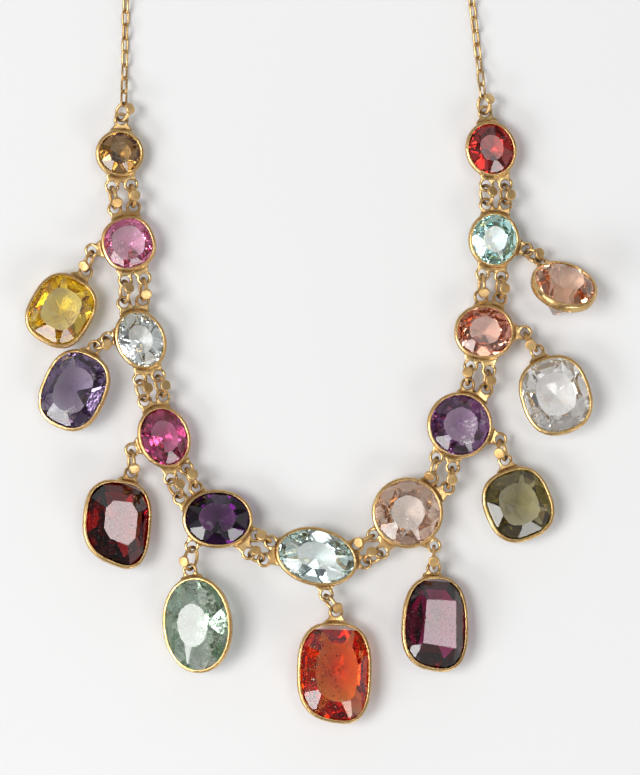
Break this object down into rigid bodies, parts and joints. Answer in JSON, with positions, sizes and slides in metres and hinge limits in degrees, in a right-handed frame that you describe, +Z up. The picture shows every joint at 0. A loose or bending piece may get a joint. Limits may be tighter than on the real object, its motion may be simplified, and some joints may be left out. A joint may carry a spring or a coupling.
{
  "type": "gemstone necklace",
  "caption": "Fringe necklace of mixed faceted stones in gold collets, joined by pairs of jump rings, with hanging stone drops and a fine chain that closes the loop.",
  "frame": {"origin": "middle of the necklace's bounding box seen from above, on the surface it lies on", "axes": "+Z up from the surface, +Y from the stones towards the clasp at the back of the neck, +X to the right with the stones' fronts facing up"},
  "size_m": [0.0858, 0.2048, 0.0084],
  "materials": {
    "gold": "worn soft polish, old gold",
    "amber_round_stone": "faceted and polished, lightly worn",
    "pink_cushion_stone": "faceted and polished, lightly worn",
    "pale_aqua_oval_stone": "faceted and polished, lightly worn",
    "magenta_oval_stone": "faceted and polished, lightly worn",
    "deep_violet_oval_stone": "faceted and polished, lightly worn",
    "centre_aqua_oval_stone": "faceted and polished, lightly worn",
    "rose_oval_stone": "faceted and polished, lightly worn",
    "violet_round_stone": "faceted and polished, lightly worn",
    "peach_oval_stone": "faceted and polished, lightly worn",
    "sky_blue_round_stone": "faceted and polished, lightly worn",
    "red_round_stone": "faceted and polished, lightly worn",
    "yellow_drop_stone": "faceted and polished, lightly worn",
    "grey_violet_drop_stone": "faceted and polished, lightly worn",
    "dark_red_drop_stone": "faceted and polished, lightly worn",
    "sea_green_drop_stone": "faceted and polished, lightly worn",
    "orange_drop_stone": "faceted and polished, lightly worn",
    "plum_drop_stone": "faceted and polished, lightly worn",
    "olive_drop_stone": "faceted and polished, lightly worn",
    "clear_drop_stone": "faceted and polished, lightly worn",
    "peach_drop_stone": "faceted and polished, lightly worn"
  },
  "bodies": {
    "root": {"amber_round_stone": "amber_round_stone", "pink_cushion_stone": "pink_cushion_stone", "pale_aqua_oval_stone": "pale_aqua_oval_stone", "magenta_oval_stone": "magenta_oval_stone", "deep_violet_oval_stone": "deep_violet_oval_stone", "centre_aqua_oval_stone": "centre_aqua_oval_stone", "rose_oval_stone": "rose_oval_stone", "violet_round_stone": "violet_round_stone", "peach_oval_stone": "peach_oval_stone", "sky_blue_round_stone": "sky_blue_round_stone", "red_round_stone": "red_round_stone", "yellow_drop_stone": "yellow_drop_stone", "grey_violet_drop_stone": "grey_violet_drop_stone", "dark_red_drop_stone": "dark_red_drop_stone", "sea_green_drop_stone": "sea_green_drop_stone", "orange_drop_stone": "orange_drop_stone", "plum_drop_stone": "plum_drop_stone", "olive_drop_stone": "olive_drop_stone", "clear_drop_stone": "clear_drop_stone", "peach_drop_stone": "peach_drop_stone", "amber_round_setting": "gold", "pink_cushion_setting": "gold", "pale_aqua_oval_setting": "gold", "magenta_oval_setting": "gold", "deep_violet_oval_setting": "gold", "centre_aqua_oval_setting": "gold", "rose_oval_setting": "gold", "violet_round_setting": "gold", "peach_oval_setting": "gold", "sky_blue_round_setting": "gold", "red_round_setting": "gold", "yellow_drop_setting": "gold", "grey_violet_drop_setting": "gold", "dark_red_drop_setting": "gold", "sea_green_drop_setting": "gold", "orange_drop_setting": "gold", "plum_drop_setting": "gold", "olive_drop_setting": "gold", "clear_drop_setting": "gold", "peach_drop_setting": "gold", "link_pair_1": "gold", "link_pair_2": "gold", "link_pair_3": "gold", "link_pair_4": "gold", "link_pair_5": "gold", "link_pair_6": "gold", "link_pair_7": "gold", "link_pair_8": "gold", "link_pair_9": "gold", "link_pair_10": "gold", "drop_links": "gold", "end_link_left": "gold", "end_link_right": "gold", "chain_left": "gold", "chain_right": "gold", "clasp": "gold"}
  },
  "joints": []
}
